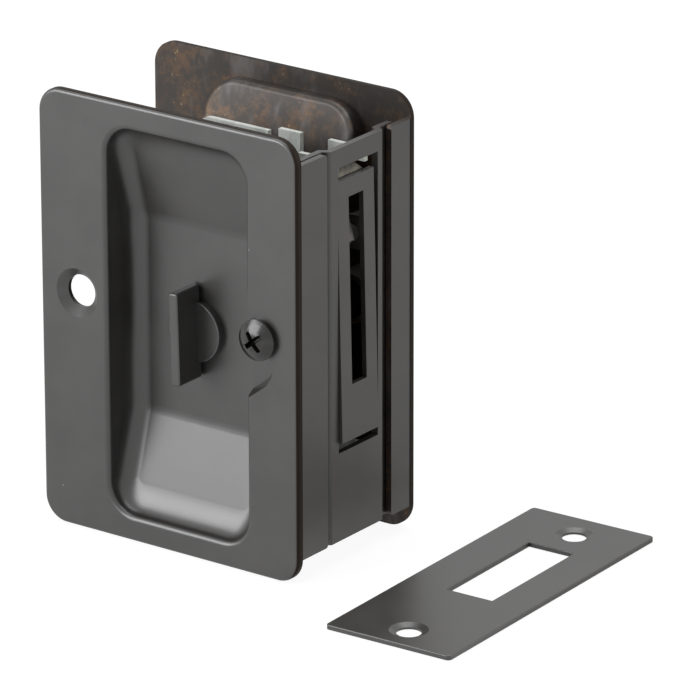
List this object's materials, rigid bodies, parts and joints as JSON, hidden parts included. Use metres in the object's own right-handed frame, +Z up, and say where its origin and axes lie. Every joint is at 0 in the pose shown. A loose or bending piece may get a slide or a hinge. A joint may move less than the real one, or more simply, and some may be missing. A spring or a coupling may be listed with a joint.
{
  "type": "pocket door privacy lock",
  "caption": "Privacy lock for a sliding pocket door: twin plates with finger cups, edge frame with swing-out pull, hook bolt on a thumb turn, and loose strike plate.",
  "frame": {"origin": "middle of the front plate's bottom edge, halfway through the plate's thickness", "axes": "+X across the plates towards the edge of the door, +Y through the door towards the back plate, +Z up"},
  "size_m": [0.0983, 0.0678, 0.0825],
  "materials": {
    "bronze_paint": "satin dark bronze paint on steel",
    "bronze_screw": "glossy dark bronze paint on steel",
    "zinc_plate": "zinc-plated steel, mottled",
    "steel": "plain steel"
  },
  "bodies": {
    "lock": {"front_plate": "bronze_paint", "back_plate": "bronze_paint", "edge_frame": "bronze_paint", "pull_rivets": "steel", "pull_spring": "steel", "case_front_side": "zinc_plate", "case_back_side": "zinc_plate", "case_spacers": "zinc_plate", "detent_spring": "steel", "screw_posts": "zinc_plate", "through_screw": "bronze_screw", "strike_plate": "bronze_paint"},
    "turn_and_hook": {"turn": "bronze_paint", "turn_clip": "steel", "spindle": "steel", "hook_hub": "steel", "hook_bolt": "steel", "release_disc": "bronze_paint", "release_clip": "steel"},
    "edge_pull": {"edge_pull": "bronze_paint"}
  },
  "joints": [
    {"name": "turn_hinge", "type": "hinge", "parent": "lock", "child": "turn_and_hook", "pos_m": [0.0007, 0, 0.04018], "axis": [0, 1, 0], "range_deg": [0, 45]},
    {"name": "edge_pull_hinge", "type": "hinge", "parent": "lock", "child": "edge_pull", "pos_m": [0.02407, 0.0174, 0.05925], "axis": [0, -1, 0], "range_deg": [0, 30], "stiffness_Nm_per_rad": 0.02, "springref_deg": -22.92, "deforming": ["pull_spring"]}
  ]
}
